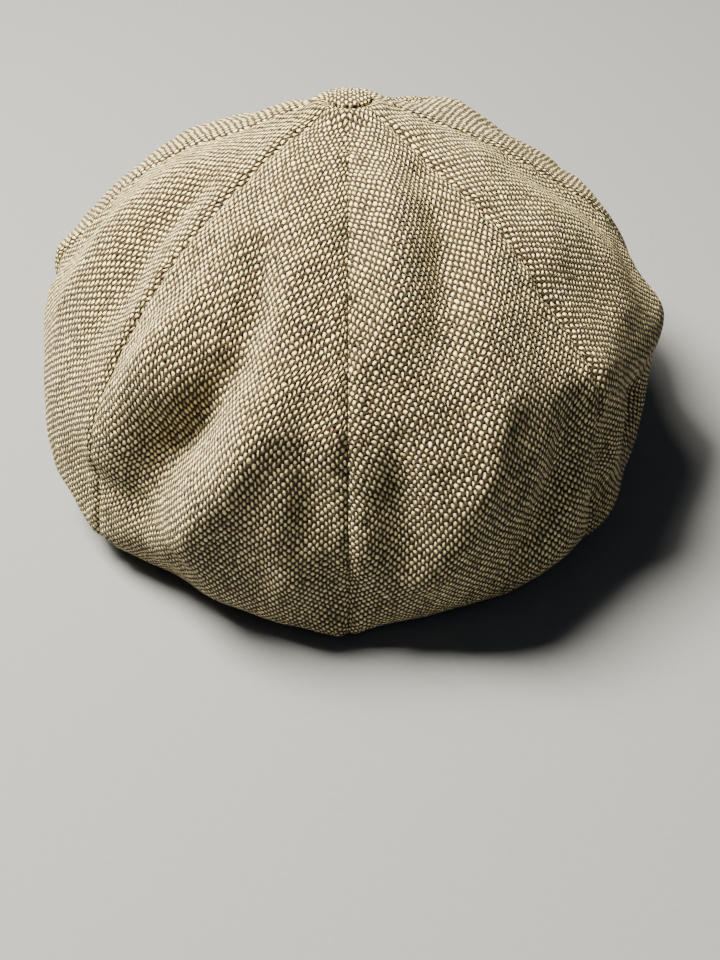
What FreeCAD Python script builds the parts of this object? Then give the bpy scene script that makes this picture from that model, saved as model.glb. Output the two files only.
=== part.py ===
import FreeCAD, Part
import math
import os
import Sketcher

# Eight-gore newsboy cap, in millimetres.
# Origin: centre of the head opening, on the plane of the headband's bottom edge.
# +Z is up, the peak points to -Y, +X is the wearer's left.
# "Turn" angles go round the cap from the centre back (0) to the centre front (180).

DIMENSIONS = [
    # Crown: a superellipse dome whose shape eases from rear to side to front.
    ("crown_apex_height", 168.0, "top of the crown at the button"),
    ("crown_radius_rear", 159.0, "apex axis to the fullest point, centre back"),
    ("crown_radius_side", 141.0, "apex axis to the fullest point, side"),
    ("crown_radius_front", 139.0, "apex axis to the fullest point, centre front"),
    ("crown_full_height_rear", 45.0, "height of the fullest point, centre back"),
    ("crown_full_height_side", 51.0, "height of the fullest point, side"),
    ("crown_full_height_front", 52.0, "height of the fullest point, centre front"),
    ("crown_top_power_rear", 2.3, "flatness of the top, centre back"),
    ("crown_top_power_side", 1.4, "flatness of the top, side"),
    ("crown_top_power_front", 1.0, "flatness of the top, centre front"),
    ("crown_wall_power_rear", 1.9, "fullness of the wall, centre back"),
    ("crown_wall_power_side", 2.0, "fullness of the wall, side"),
    ("crown_wall_power_front", 1.5, "fullness of the wall, centre front"),
    ("crown_roll_width", 14.0, "how far the roll turns in below the fullest point"),
    ("crown_low_height", 3.0, "underside of the roll at back and sides"),
    ("crown_low_height_front", 25.5, "underside of the roll over the peak"),
    ("roll_rise_start_turn", 92.0, "turn angle where the roll starts to rise"),
    ("roll_rise_end_turn", 160.0, "turn angle where the roll has risen"),
    ("gore_belly", 1.6, "extra fullness half-way between two seams"),
    ("gore_eyelet_radius", 3.0, "hole left where the gore points meet"),
    ("gore_seam_gap", 0.16, "clear gap along each seam"),
    ("tweed_thickness", 1.2, "outer cloth"),
    ("lining_inset", 4.0, "crown face to lining"),
    ("lining_thickness", 0.5, "lining cloth"),
    ("lining_eyelet_radius", 4.0, "hole left where the lining points meet"),
    # Headband, sewn from three layers round the head opening.
    ("opening_half_width", 81.0, "inside the sweatband, side to side"),
    ("opening_half_length", 102.0, "inside the sweatband, front to back"),
    ("sweatband_thickness", 0.8, "inner band"),
    ("sweatband_height", 32.0, "inner band"),
    ("interlining_thickness", 0.9, "stiffening band"),
    ("interlining_height", 26.0, "stiffening band"),
    ("headband_height", 30.0, "outer band"),
    ("layer_gap", 0.1, "clear gap between two sewn layers"),
    ("band_clearance", 0.3, "outer band to the crown's hem and to the peak's root"),
    ("band_hem", 1.0, "inner layers stop this far above the bottom edge"),
    ("crown_join_height", 27.0, "where the crown meets the outer band"),
    ("front_lift_start", 10.0, "in front of the centre, where the bottom edge starts to lift"),
    ("front_lift_radius", 252.0, "curve of the lifted bottom edge"),
    ("front_lift_reach", 125.0, "how far ahead of the centre the lifted curve runs"),
    ("front_lift_depth", 6.0, "how far below the bottom edge the band is cleared"),
    # Peak: an arched board between two cloth covers.
    ("peak_bend_radius", 186.0, "arch across the peak, lower face"),
    ("peak_slope", 8.0, "degrees the peak falls towards its front"),
    ("peak_root_front", 38.0, "in front of the centre, where the peak's ends stop"),
    ("peak_root_height", 29.6, "crest of the lower face at the peak's ends"),
    ("peak_centre_offset", 72.0, "centre of the outline in front of the cap's centre"),
    ("peak_half_width", 88.0, "outline"),
    ("peak_half_length", 96.0, "outline"),
    ("peak_half_span", 96.0, "half width of the arched blank before trimming"),
    ("peak_blank_length", 150.0, "length of the arched blank before trimming"),
    ("peak_board_inset", 2.0, "board edge inside the covers' edge"),
    ("peak_cover_thickness", 1.0, "tweed drawn tight over the board"),
    ("peak_board_thickness", 1.8, "moulded board"),
    # Cloth-covered button with a two-part metal core.
    ("button_radius", 9.5, "over the cloth"),
    ("button_height", 3.2, "over the cloth"),
    ("button_rim_height", 1.6, "straight side below the dome"),
    ("button_cloth", 0.8, "cloth over the shell"),
    ("button_shell_wall", 0.4, "pressed metal"),
    ("button_tilt", 8.0, "degrees the button leans to the front"),
    ("button_seat", -0.2, "button base measured up from the apex"),
    ("prong_radius", 1.1, "stem through the eyelet"),
    ("prong_length", 3.9, "base of the button to the foot"),
    ("prong_foot_radius", 3.9, "clinched foot below the gores"),
    ("prong_foot_thickness", 0.5, "clinched foot below the gores"),
    ("prong_plate_lift", 0.2, "plate inside the shell, above the button's base"),
    ("prong_plate_thickness", 0.3, "plate inside the shell"),
    # Blank woven label on the inside of the sweatband, centre back.
    ("label_half_width", 21.0, "label"),
    ("label_height", 20.0, "label"),
    ("label_thickness", 0.4, "label"),
    ("label_bottom", 6.0, "label above the bottom edge"),
]

GORES = [("back", 0.0), ("rear_side", 45.0), ("front_side", 90.0), ("front", 135.0)]
SIDES = [("left", 1.0), ("right", -1.0)]
SECTIONS_PER_GORE = 5
GORE_SWEEP = 45.0
DOME_STATIONS = 9
ROLL_STATIONS = 5
# Half-sizes of trimming outlines that lie well outside everything they trim.
OUTSIDE_LABEL = 130.0
OUTSIDE_PEAK = 320.0
SHEET = "Dimensions"


def make_sheet(doc):
    """Spreadsheet of every driving dimension, one alias per row."""
    sheet = doc.addObject("Spreadsheet::Sheet", SHEET)
    for row, (alias, value, note) in enumerate(DIMENSIONS, start=1):
        sheet.set("A%d" % row, alias)
        sheet.set("B%d" % row, str(value))
        sheet.set("C%d" % row, note)
        sheet.setAlias("B%d" % row, alias)
    doc.recompute()
    return sheet


def ref(expression):
    """Expression text with every alias pointed at the spreadsheet."""
    for alias in sorted((name for name, _, _ in DIMENSIONS), key=len, reverse=True):
        expression = expression.replace("@" + alias, SHEET + "." + alias)
    return expression


def new_body(doc, name):
    body = doc.addObject("PartDesign::Body", name)
    body.Label = name
    return body


def origin_plane(body, role):
    return next(item for item in body.Origin.OriginFeatures if item.Role == role)


def new_sketch(body, name, role, offset=None):
    sketch = body.newObject("Sketcher::SketchObject", name)
    sketch.AttachmentSupport = [(origin_plane(body, role), "")]
    sketch.MapMode = "FlatFace"
    if offset is not None:
        sketch.AttachmentOffset = offset
    return sketch


def bind(sketch, constraint, expression):
    """Add a dimension to the sketch and tie it to the spreadsheet."""
    index = sketch.addConstraint(constraint)
    sketch.setExpression("Constraints[%d]" % index, ref(expression))


# ---------------------------------------------------------------- crown shape

def eased(sheet, stem, turn):
    """Value of a rear / side / front dimension at this turn angle."""
    rear, side, front = (sheet.get(stem + end) for end in ("_rear", "_side", "_front"))
    second = ((rear + front) / 2.0 - side) / 2.0
    angle = math.radians(turn)
    return side + second + (rear - front) / 2.0 * math.cos(angle) + second * math.cos(2.0 * angle)


def smooth_step(value):
    value = min(1.0, max(0.0, value))
    return value * value * (3.0 - 2.0 * value)


def band_outer_axes(sheet):
    """Half-axes of the outer face of the headband."""
    build_up = (sheet.get("sweatband_thickness") + sheet.get("interlining_thickness")
                + sheet.get("tweed_thickness") + 2.0 * sheet.get("layer_gap"))
    return (sheet.get("opening_half_width") + build_up,
            sheet.get("opening_half_length") + build_up)


def oval_radius(half_width, half_length, turn):
    angle = math.radians(turn)
    return 1.0 / math.hypot(math.sin(angle) / half_width, math.cos(angle) / half_length)


def profile_point(sheet, turn, stage):
    """Point (radius, height) on the crown's outer face in one vertical half-plane.

    stage 0-1 runs from the eyelet to the fullest point, 1-2 round the roll,
    2-3 along the underside to the headband.
    """
    belly = sheet.get("gore_belly") * math.sin(math.pi * (turn % GORE_SWEEP) / GORE_SWEEP) ** 2
    full = eased(sheet, "crown_radius", turn) + belly
    full_z = eased(sheet, "crown_full_height", turn)
    rise = smooth_step((turn - sheet.get("roll_rise_start_turn"))
                       / (sheet.get("roll_rise_end_turn") - sheet.get("roll_rise_start_turn")))
    low_z = sheet.get("crown_low_height") + rise * (sheet.get("crown_low_height_front")
                                                    - sheet.get("crown_low_height"))
    roll = full - sheet.get("crown_roll_width")
    if stage <= 1.0:
        top_power = eased(sheet, "crown_top_power", turn)
        wall_power = eased(sheet, "crown_wall_power", turn)
        first = math.asin((sheet.get("gore_eyelet_radius") / full) ** (top_power / 2.0))
        angle = first + (math.pi / 2.0 - first) * stage
        height = sheet.get("crown_apex_height") - full_z
        return (full * math.sin(angle) ** (2.0 / top_power),
                full_z + height * max(0.0, math.cos(angle)) ** (2.0 / wall_power))
    if stage <= 2.0:
        angle = (stage - 1.0) * math.pi / 2.0
        return (roll + (full - roll) * math.cos(angle),
                full_z - (full_z - low_z) * math.sin(angle))
    step = stage - 2.0
    band = oval_radius(*band_outer_axes(sheet), turn) + sheet.get("band_clearance")
    join_z = sheet.get("crown_join_height")
    return (roll - (roll - band) * step,
            low_z + (join_z - low_z) * (1.0 - math.cos(step * math.pi / 2.0)))


def inset_point(sheet, turn, stage, inset):
    """Crown profile point moved towards the inside of the crown."""
    step = 1e-3
    before = profile_point(sheet, turn, max(0.0, stage - step))
    after = profile_point(sheet, turn, min(3.0, stage + step))
    along_r, along_z = after[0] - before[0], after[1] - before[1]
    length = math.hypot(along_r, along_z)
    radius, height = profile_point(sheet, turn, stage)
    return FreeCAD.Vector(radius + inset * along_z / length, height - inset * along_r / length, 0)


def profile_curve(sheet, turn, inset, first_stage):
    """Smooth curve through the inset profile at stations denser round the roll."""
    stages = [first_stage + (1.0 - first_stage) * step / DOME_STATIONS
              for step in range(DOME_STATIONS)]
    stages += [1.0 + step / ROLL_STATIONS for step in range(2 * ROLL_STATIONS + 1)]
    curve = Part.BSplineCurve()
    curve.interpolate([inset_point(sheet, turn, stage, inset) for stage in stages],
                      Parameters=stages)
    return curve


def first_stage_for(sheet, turn, inset, radius):
    """Stage at which the inset profile first clears the eyelet radius."""
    low, high = 0.0, 0.5
    for _ in range(40):
        middle = (low + high) / 2.0
        if inset_point(sheet, turn, middle, inset).x < radius:
            low = middle
        else:
            high = middle
    return high


def gore_section(body, sheet, name, turn, side, shift, inset, thickness, eyelet):
    """Closed cloth cross-section of a gore in the vertical half-plane at one turn angle."""
    rotation = FreeCAD.Rotation(FreeCAD.Vector(0, 1, 0), 90.0 - side * turn)
    offset = FreeCAD.Placement(rotation.multVec(FreeCAD.Vector(0, 0, side * shift)), rotation)
    sketch = new_sketch(body, name, "XZ_Plane", offset)
    first = max(first_stage_for(sheet, turn, inset, eyelet),
                first_stage_for(sheet, turn, inset + thickness, eyelet))
    face = profile_curve(sheet, turn, inset, first)
    back = profile_curve(sheet, turn, inset + thickness, first)
    sketch.addGeometry([face, back,
                        Part.LineSegment(face.StartPoint, back.StartPoint),
                        Part.LineSegment(face.EndPoint, back.EndPoint)], False)
    for curve, line, end in ((0, 2, 1), (0, 3, 2), (1, 2, 1), (1, 3, 2)):
        sketch.addConstraint(Sketcher.Constraint("Coincident", line, curve + 1, curve, end))
    sketch.addConstraint(Sketcher.Constraint("Block", 0))
    sketch.addConstraint(Sketcher.Constraint("Block", 1))
    return sketch


def make_gore(doc, sheet, name, start_turn, side, inset, thickness, eyelet):
    """One cloth gore from the eyelet to the headband, lofted across its width."""
    body = new_body(doc, name)
    half_gap = sheet.get("gore_seam_gap") / 2.0
    sections = []
    for index in range(SECTIONS_PER_GORE):
        turn = start_turn + GORE_SWEEP * index / (SECTIONS_PER_GORE - 1)
        shift = half_gap * (1.0 - 2.0 * index / (SECTIONS_PER_GORE - 1))
        sections.append(gore_section(body, sheet, "%s_section_%d" % (name, index + 1), turn, side,
                                     shift, inset, thickness, eyelet))
    doc.recompute()
    loft = body.newObject("PartDesign::AdditiveLoft", name + "_cloth")
    loft.Profile = sections[0]
    loft.Sections = sections[1:]
    doc.recompute()
    return body


def make_crown(doc, sheet):
    """Eight tweed gores and the eight lining gores inside them."""
    bodies = []
    for gore, start_turn in GORES:
        for side_name, side in SIDES:
            bodies.append(make_gore(doc, sheet, "crown_panel_%s_%s" % (gore, side_name),
                                    start_turn, side, 0.0, sheet.get("tweed_thickness"),
                                    sheet.get("gore_eyelet_radius")))
            bodies.append(make_gore(doc, sheet, "lining_panel_%s_%s" % (gore, side_name),
                                    start_turn, side, sheet.get("lining_inset"),
                                    sheet.get("lining_thickness"),
                                    sheet.get("lining_eyelet_radius")))
    return bodies


# ---------------------------------------------------------------- ovals and bands

def add_oval(sketch, half_width, half_length, centre_back, size):
    """Constrained ellipse, long axis front to back, its centre on the sketch's Y axis."""
    wide, long, back = size
    centre = FreeCAD.Vector(0, back, 0)
    index = sketch.addGeometry(Part.Ellipse(centre + FreeCAD.Vector(0, long, 0),
                                            centre + FreeCAD.Vector(wide, 0, 0), centre), False)
    sketch.exposeInternalGeometry(index)
    sketch.addConstraint(Sketcher.Constraint("Vertical", index + 1))
    bind(sketch, Sketcher.Constraint("Distance", index + 1, 2.0 * long), "2 * (%s)" % half_length)
    bind(sketch, Sketcher.Constraint("Distance", index + 2, 2.0 * wide), "2 * (%s)" % half_width)
    if centre_back is None:
        sketch.addConstraint(Sketcher.Constraint("Coincident", index, 3, -1, 1))
    else:
        sketch.addConstraint(Sketcher.Constraint("PointOnObject", index, 3, -2))
        bind(sketch, Sketcher.Constraint("DistanceY", index, 3, -1, 1, -back), centre_back)


def make_band(doc, sheet, name, build_in, thickness, bottom, height):
    """Upright oval band; build_in and thickness are expressions, outward from the opening."""
    body = new_body(doc, name)
    offset = FreeCAD.Placement(FreeCAD.Vector(0, 0, 0), FreeCAD.Rotation())
    sketch = new_sketch(body, name + "_plan", "XY_Plane", offset)
    if bottom is not None:
        sketch.setExpression("AttachmentOffset.Base.z", ref(bottom))
    guess = (sheet.get("opening_half_width"), sheet.get("opening_half_length"))
    # Rough starting sizes; the constraints set the true ones.
    for extra, grow in (("", 1.0), (" + " + thickness, 3.0)):
        add_oval(sketch, "@opening_half_width + " + build_in + extra,
                 "@opening_half_length + " + build_in + extra, None,
                 (guess[0] + grow, guess[1] + grow, 0.0))
    doc.recompute()
    pad = body.newObject("PartDesign::Pad", name + "_strip")
    pad.Profile = sketch
    pad.setExpression("Length", ref(height))
    doc.recompute()
    return body


def lift_front_edge(doc, sheet, body, drop):
    """Curve the band's bottom edge up at the front, where the peak is sewn on."""
    start = -sheet.get("front_lift_start")
    radius = sheet.get("front_lift_radius")
    reach, foot = -sheet.get("front_lift_reach"), -sheet.get("front_lift_depth")
    sketch = new_sketch(body, body.Name + "_front_curve", "YZ_Plane")
    sweep = math.asin((start - reach) / radius)
    top = FreeCAD.Vector(reach, radius - math.sqrt(radius ** 2 - (start - reach) ** 2) + drop, 0)
    circle = Part.Circle(FreeCAD.Vector(start, radius + drop, 0), FreeCAD.Vector(0, 0, 1), radius)
    arc = Part.ArcOfCircle(circle, 1.5 * math.pi - sweep, 1.5 * math.pi)
    first, low = FreeCAD.Vector(start, drop, 0), FreeCAD.Vector(start, foot, 0)
    corner = FreeCAD.Vector(reach, foot, 0)
    sketch.addGeometry([arc, Part.LineSegment(first, low), Part.LineSegment(low, corner),
                        Part.LineSegment(corner, top)], False)
    for one, one_end, two, two_end in ((0, 2, 1, 1), (1, 2, 2, 1), (2, 2, 3, 1), (3, 2, 0, 1)):
        sketch.addConstraint(Sketcher.Constraint("Coincident", one, one_end, two, two_end))
    sketch.addConstraint(Sketcher.Constraint("Vertical", 1))
    sketch.addConstraint(Sketcher.Constraint("Horizontal", 2))
    sketch.addConstraint(Sketcher.Constraint("Vertical", 3))
    bind(sketch, Sketcher.Constraint("Radius", 0, radius), "@front_lift_radius")
    bind(sketch, Sketcher.Constraint("DistanceX", 0, 3, -1, 1, -start), "@front_lift_start")
    bind(sketch, Sketcher.Constraint("DistanceX", 0, 2, -1, 1, -start), "@front_lift_start")
    bind(sketch, Sketcher.Constraint("DistanceY", -1, 1, 0, 2, drop), "%g * @band_hem" % drop)
    bind(sketch, Sketcher.Constraint("DistanceX", 3, 1, -1, 1, -reach), "@front_lift_reach")
    bind(sketch, Sketcher.Constraint("DistanceY", 1, 2, -1, 1, -foot), "@front_lift_depth")
    doc.recompute()
    before = body.Shape.Volume
    cut = body.newObject("PartDesign::Pocket", body.Name + "_front_lift")
    cut.Profile = sketch
    cut.Type = "ThroughAll"
    cut.Midplane = True
    doc.recompute()
    if not cut.Shape.Volume < before:
        raise RuntimeError("front lift removed nothing from " + body.Name)


def make_headband(doc, sheet):
    """Sweatband, stiffening band and outer band, inside to outside."""
    gap = "@layer_gap"
    stiff = "@sweatband_thickness + " + gap
    outer = stiff + " + @interlining_thickness + " + gap
    sweat = make_band(doc, sheet, "sweatband", "0", "@sweatband_thickness", "@band_hem",
                      "@sweatband_height")
    core = make_band(doc, sheet, "headband_interlining", stiff, "@interlining_thickness",
                     "@band_hem", "@interlining_height")
    cloth = make_band(doc, sheet, "headband_outer", outer, "@tweed_thickness", None,
                      "@headband_height")
    for body, drop in ((sweat, 1.0), (core, 1.0), (cloth, 0.0)):
        lift_front_edge(doc, sheet, body, drop)
    return [sweat, core, cloth]


def make_label(doc, sheet):
    """Short curved strip lying on the sweatband's inner face at the centre back."""
    body = new_body(doc, "sweatband_label")
    offset = FreeCAD.Placement(FreeCAD.Vector(0, 0, 0), FreeCAD.Rotation())
    sketch = new_sketch(body, "label_plan", "XY_Plane", offset)
    sketch.setExpression("AttachmentOffset.Base.z", ref("@label_bottom"))
    wide, long = sheet.get("opening_half_width"), sheet.get("opening_half_length")
    gap, thickness = sheet.get("layer_gap"), sheet.get("label_thickness")
    for less, depth in ((" - @layer_gap", gap),
                        (" - @layer_gap - @label_thickness", gap + thickness)):
        add_oval(sketch, "@opening_half_width" + less, "@opening_half_length" + less, None,
                 (wide - depth, long - depth, 0.0))
    doc.recompute()
    pad = body.newObject("PartDesign::Pad", "label_ring")
    pad.Profile = sketch
    pad.setExpression("Length", ref("@label_height"))
    doc.recompute()
    trim = new_sketch(body, "label_trim", "XY_Plane")
    half, far = sheet.get("label_half_width"), OUTSIDE_LABEL
    outline = [(-far, -far), (far, -far), (far, far), (half, far),
               (half, 0.0), (-half, 0.0), (-half, far), (-far, far)]
    points = [FreeCAD.Vector(x, y, 0) for x, y in outline]
    count = len(points)
    trim.addGeometry([Part.LineSegment(points[index], points[(index + 1) % count])
                      for index in range(count)], False)
    for index in range(count):
        trim.addConstraint(Sketcher.Constraint("Coincident", index, 2, (index + 1) % count, 1))
    for index in (0, 2, 4, 6):
        trim.addConstraint(Sketcher.Constraint("Horizontal", index))
    for index in (1, 3, 5, 7):
        trim.addConstraint(Sketcher.Constraint("Vertical", index))
    bind(trim, Sketcher.Constraint("DistanceX", -1, 1, 4, 1, half), "@label_half_width")
    bind(trim, Sketcher.Constraint("DistanceX", 4, 2, -1, 1, half), "@label_half_width")
    doc.recompute()
    cut = body.newObject("PartDesign::Pocket", "label_ends")
    cut.Profile = trim
    cut.Type = "ThroughAll"
    cut.Midplane = True
    doc.recompute()
    return body


# ---------------------------------------------------------------- peak

def arched_blank(doc, sheet, body, lift, thickness, lift_value, thickness_value):
    """Arched slab sloping to the front; lift is measured up from the peak's lower face."""
    slope = math.radians(sheet.get("peak_slope"))
    rotation = FreeCAD.Rotation(FreeCAD.Vector(1, 0, 0), math.degrees(slope))
    base = FreeCAD.Vector(0, sheet.get("peak_root_height"), sheet.get("peak_root_front"))
    sketch = new_sketch(body, body.Name + "_arch", "XZ_Plane", FreeCAD.Placement(base, rotation))
    sketch.setExpression("AttachmentOffset.Base.y", ref("@peak_root_height"))
    sketch.setExpression("AttachmentOffset.Base.z", ref("@peak_root_front"))
    bend, span = sheet.get("peak_bend_radius"), sheet.get("peak_half_span")
    centre = FreeCAD.Vector(0, -bend, 0)
    arcs, ends = [], []
    for radius in (bend + lift_value, bend + lift_value + thickness_value):
        half = math.asin(span / radius)
        circle = Part.Circle(centre, FreeCAD.Vector(0, 0, 1), radius)
        arc = Part.ArcOfCircle(circle, math.pi / 2.0 - half, math.pi / 2.0 + half)
        arcs.append(arc)
        ends.append((arc.StartPoint, arc.EndPoint))
    sketch.addGeometry(arcs + [Part.LineSegment(ends[0][0], ends[1][0]),
                               Part.LineSegment(ends[0][1], ends[1][1])], False)
    for line, end in ((2, 1), (3, 2)):
        sketch.addConstraint(Sketcher.Constraint("Coincident", line, 1, 0, end))
        sketch.addConstraint(Sketcher.Constraint("Coincident", line, 2, 1, end))
        sketch.addConstraint(Sketcher.Constraint("Vertical", line))
    sketch.addConstraint(Sketcher.Constraint("Coincident", 0, 3, 1, 3))
    sketch.addConstraint(Sketcher.Constraint("PointOnObject", 0, 3, -2))
    bind(sketch, Sketcher.Constraint("DistanceY", 0, 3, -1, 1, bend), "@peak_bend_radius")
    bind(sketch, Sketcher.Constraint("Radius", 0, bend + lift_value),
         "@peak_bend_radius + " + lift)
    bind(sketch, Sketcher.Constraint("Radius", 1, bend + lift_value + thickness_value),
         "@peak_bend_radius + " + lift + " + " + thickness)
    bind(sketch, Sketcher.Constraint("DistanceX", -1, 1, 2, 1, span), "@peak_half_span")
    bind(sketch, Sketcher.Constraint("DistanceX", 3, 1, -1, 1, span), "@peak_half_span")
    doc.recompute()
    pad = body.newObject("PartDesign::Pad", body.Name + "_blank")
    pad.Profile = sketch
    pad.setExpression("Length", ref("@peak_blank_length"))
    doc.recompute()


def trim_peak(doc, sheet, body, inset, inset_value):
    """Cut the arched blank to the crescent between the outline and the headband."""
    wide = sheet.get("peak_half_width") - inset_value
    long = sheet.get("peak_half_length") - inset_value
    outline = new_sketch(body, body.Name + "_outline", "XY_Plane")
    add_oval(outline, "@peak_half_width - " + inset, "@peak_half_length - " + inset,
             "@peak_centre_offset", (wide, long, -sheet.get("peak_centre_offset")))
    outline.addGeometry(Part.Circle(FreeCAD.Vector(0, 0, 0), FreeCAD.Vector(0, 0, 1),
                                    OUTSIDE_PEAK), False)
    root = new_sketch(body, body.Name + "_root", "XY_Plane")
    build_up = ("@sweatband_thickness + @interlining_thickness + @tweed_thickness"
                " + 2 * @layer_gap + @band_clearance + " + inset)
    out = sheet.get("band_clearance") + inset_value
    axes = band_outer_axes(sheet)
    add_oval(root, "@opening_half_width + " + build_up, "@opening_half_length + " + build_up,
             None, (axes[0] + out, axes[1] + out, 0.0))
    for sketch in (outline, root):
        doc.recompute()
        before = body.Shape.Volume
        cut = body.newObject("PartDesign::Pocket", sketch.Name + "_cut")
        cut.Profile = sketch
        cut.Type = "ThroughAll"
        cut.Midplane = True
        doc.recompute()
        if not cut.Shape.Volume < before:
            raise RuntimeError("outline removed nothing from " + body.Name)


def make_peak(doc, sheet):
    """Under cover, board and top cover, bottom to top."""
    cover, board, gap = (sheet.get(name) for name in
                         ("peak_cover_thickness", "peak_board_thickness", "layer_gap"))
    layers = [
        ("peak_under_cover", "0", "@peak_cover_thickness", 0.0, cover, "0", 0.0),
        ("peak_board", "@peak_cover_thickness + @layer_gap", "@peak_board_thickness",
         cover + gap, board, "@peak_board_inset", sheet.get("peak_board_inset")),
        ("peak_top_cover", "@peak_cover_thickness + @peak_board_thickness + 2 * @layer_gap",
         "@peak_cover_thickness", cover + board + 2.0 * gap, cover, "0", 0.0),
    ]
    bodies = []
    for name, lift, thickness, lift_value, thickness_value, inset, inset_value in layers:
        body = new_body(doc, name)
        arched_blank(doc, sheet, body, lift, thickness, lift_value, thickness_value)
        trim_peak(doc, sheet, body, inset, inset_value)
        bodies.append(body)
    return bodies


# ---------------------------------------------------------------- button

def revolve_profile(doc, body, points, bulge=None):
    """Revolve a closed outline about the button's own axis; bulge curves named edges."""
    sketch = new_sketch(body, body.Name + "_profile", "XZ_Plane")
    edges = []
    count = len(points)
    for index in range(count):
        start = FreeCAD.Vector(points[index][0], points[index][1], 0)
        end = FreeCAD.Vector(points[(index + 1) % count][0], points[(index + 1) % count][1], 0)
        if bulge and index in bulge:
            edges.append(Part.Arc(start, FreeCAD.Vector(bulge[index][0], bulge[index][1], 0), end))
        else:
            edges.append(Part.LineSegment(start, end))
    sketch.addGeometry(edges, False)
    doc.recompute()
    turn = body.newObject("PartDesign::Revolution", body.Name + "_turned")
    turn.Profile = sketch
    turn.ReferenceAxis = (sketch, ["V_Axis"])
    turn.Angle = 360.0
    doc.recompute()


def shell_outline(reach, bend, centre, foot, wall_thickness):
    """Closed outline of a domed cup, and the mid-points of its two concentric arcs."""

    def dome(width, radius):
        half = math.asin(width / radius) / 2.0
        return ((width, centre + math.sqrt(radius ** 2 - width ** 2)),
                (radius * math.sin(half), centre + radius * math.cos(half)),
                (0.0, centre + radius))

    rim, half, top = dome(reach, bend)
    rim_in, half_in, top_in = dome(reach - wall_thickness, bend - wall_thickness)
    points = [(reach, foot), rim, top, top_in, rim_in, (reach - wall_thickness, foot)]
    return points, {1: half, 3: half_in}


def make_button(doc, sheet):
    """Cloth cover, pressed shell and clinched prong, tilted together at the apex."""
    cloth, shell = sheet.get("button_cloth"), sheet.get("button_shell_wall")
    gap = sheet.get("layer_gap")
    radius, height = sheet.get("button_radius"), sheet.get("button_height")
    rise = height - sheet.get("button_rim_height")
    bend = (radius ** 2 + rise ** 2) / (2.0 * rise)
    centre = height - bend
    cover = new_body(doc, "crown_button_cover")
    revolve_profile(doc, cover, *shell_outline(radius, bend, centre, 0.0, cloth))
    cup = new_body(doc, "crown_button_shell")
    inner, inner_bend = radius - cloth - gap, bend - cloth - gap
    revolve_profile(doc, cup, *shell_outline(inner, inner_bend, centre, gap, shell))
    prong = new_body(doc, "crown_button_prong")
    stem, length = sheet.get("prong_radius"), sheet.get("prong_length")
    foot, foot_wall = sheet.get("prong_foot_radius"), sheet.get("prong_foot_thickness")
    plate, low = inner - shell - gap, sheet.get("prong_plate_lift")
    high = low + sheet.get("prong_plate_thickness")
    revolve_profile(doc, prong, [
        (0.0, high), (plate, high), (plate, low), (stem, low), (stem, -length + foot_wall),
        (foot, -length + foot_wall), (foot, -length), (0.0, -length)])
    seat = FreeCAD.Placement(
        FreeCAD.Vector(0, 0, sheet.get("crown_apex_height") + sheet.get("button_seat")),
        FreeCAD.Rotation(FreeCAD.Vector(1, 0, 0), sheet.get("button_tilt")))
    for body in (cover, cup, prong):
        body.Placement = seat
        body.setExpression("Placement.Base.z",
                           ref("@crown_apex_height + @button_seat"))
    doc.recompute()
    return [cover, cup, prong]


# ---------------------------------------------------------------- checks and export

def check(doc, bodies):
    """Refuse a broken feature, an empty or invalid shape, or a body of several solids."""
    for item in doc.Objects:
        if "Invalid" in item.State or "Error" in item.State:
            raise RuntimeError("feature failed: " + item.Name + " " + str(item.State))
    for body in bodies:
        shape = body.Shape
        if shape.isNull() or not shape.isValid() or len(shape.Solids) != 1:
            raise RuntimeError("bad shape: %s, %d solids" % (body.Name, len(shape.Solids)))


def export(bodies):
    os.makedirs("parts", exist_ok=True)
    for body in bodies:
        body.Shape.exportStep("parts/%s.step" % body.Label)
        box = body.Shape.BoundBox
        print("%-30s volume %9.1f  x %7.1f %7.1f  y %7.1f %7.1f  z %6.1f %6.1f" % (
            body.Label, body.Shape.Volume, box.XMin, box.XMax, box.YMin, box.YMax,
            box.ZMin, box.ZMax))


def main():
    doc = FreeCAD.newDocument("newsboy_cap")
    sheet = make_sheet(doc)
    bodies = make_crown(doc, sheet)
    bodies += make_headband(doc, sheet)
    bodies.append(make_label(doc, sheet))
    bodies += make_peak(doc, sheet)
    bodies += make_button(doc, sheet)
    doc.recompute()
    check(doc, bodies)
    export(bodies)


main()
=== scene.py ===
import math
import bpy
import numpy as np
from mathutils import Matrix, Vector


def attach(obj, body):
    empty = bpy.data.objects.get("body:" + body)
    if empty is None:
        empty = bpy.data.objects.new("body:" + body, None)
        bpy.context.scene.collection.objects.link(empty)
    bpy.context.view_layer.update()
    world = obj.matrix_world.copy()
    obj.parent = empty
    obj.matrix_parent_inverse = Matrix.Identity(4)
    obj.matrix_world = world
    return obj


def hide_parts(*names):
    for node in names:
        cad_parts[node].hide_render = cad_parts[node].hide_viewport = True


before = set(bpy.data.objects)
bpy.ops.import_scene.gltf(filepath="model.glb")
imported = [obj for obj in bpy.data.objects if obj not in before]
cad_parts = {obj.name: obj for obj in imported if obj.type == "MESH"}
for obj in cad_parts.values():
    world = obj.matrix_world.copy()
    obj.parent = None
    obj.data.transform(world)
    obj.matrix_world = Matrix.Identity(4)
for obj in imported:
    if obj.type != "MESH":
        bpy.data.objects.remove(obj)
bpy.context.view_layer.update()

# Eight-gore newsboy cap. Lengths below are in millimetres until a mesh is made.
# "turn" is degrees round the cap from centre back (0) to centre front (180), + on the wearer's left.
# "stage" runs down the crown: 0 eyelet, 1 fullest point, 2 bottom of the roll, 3 headband.
MM = 0.001

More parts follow.
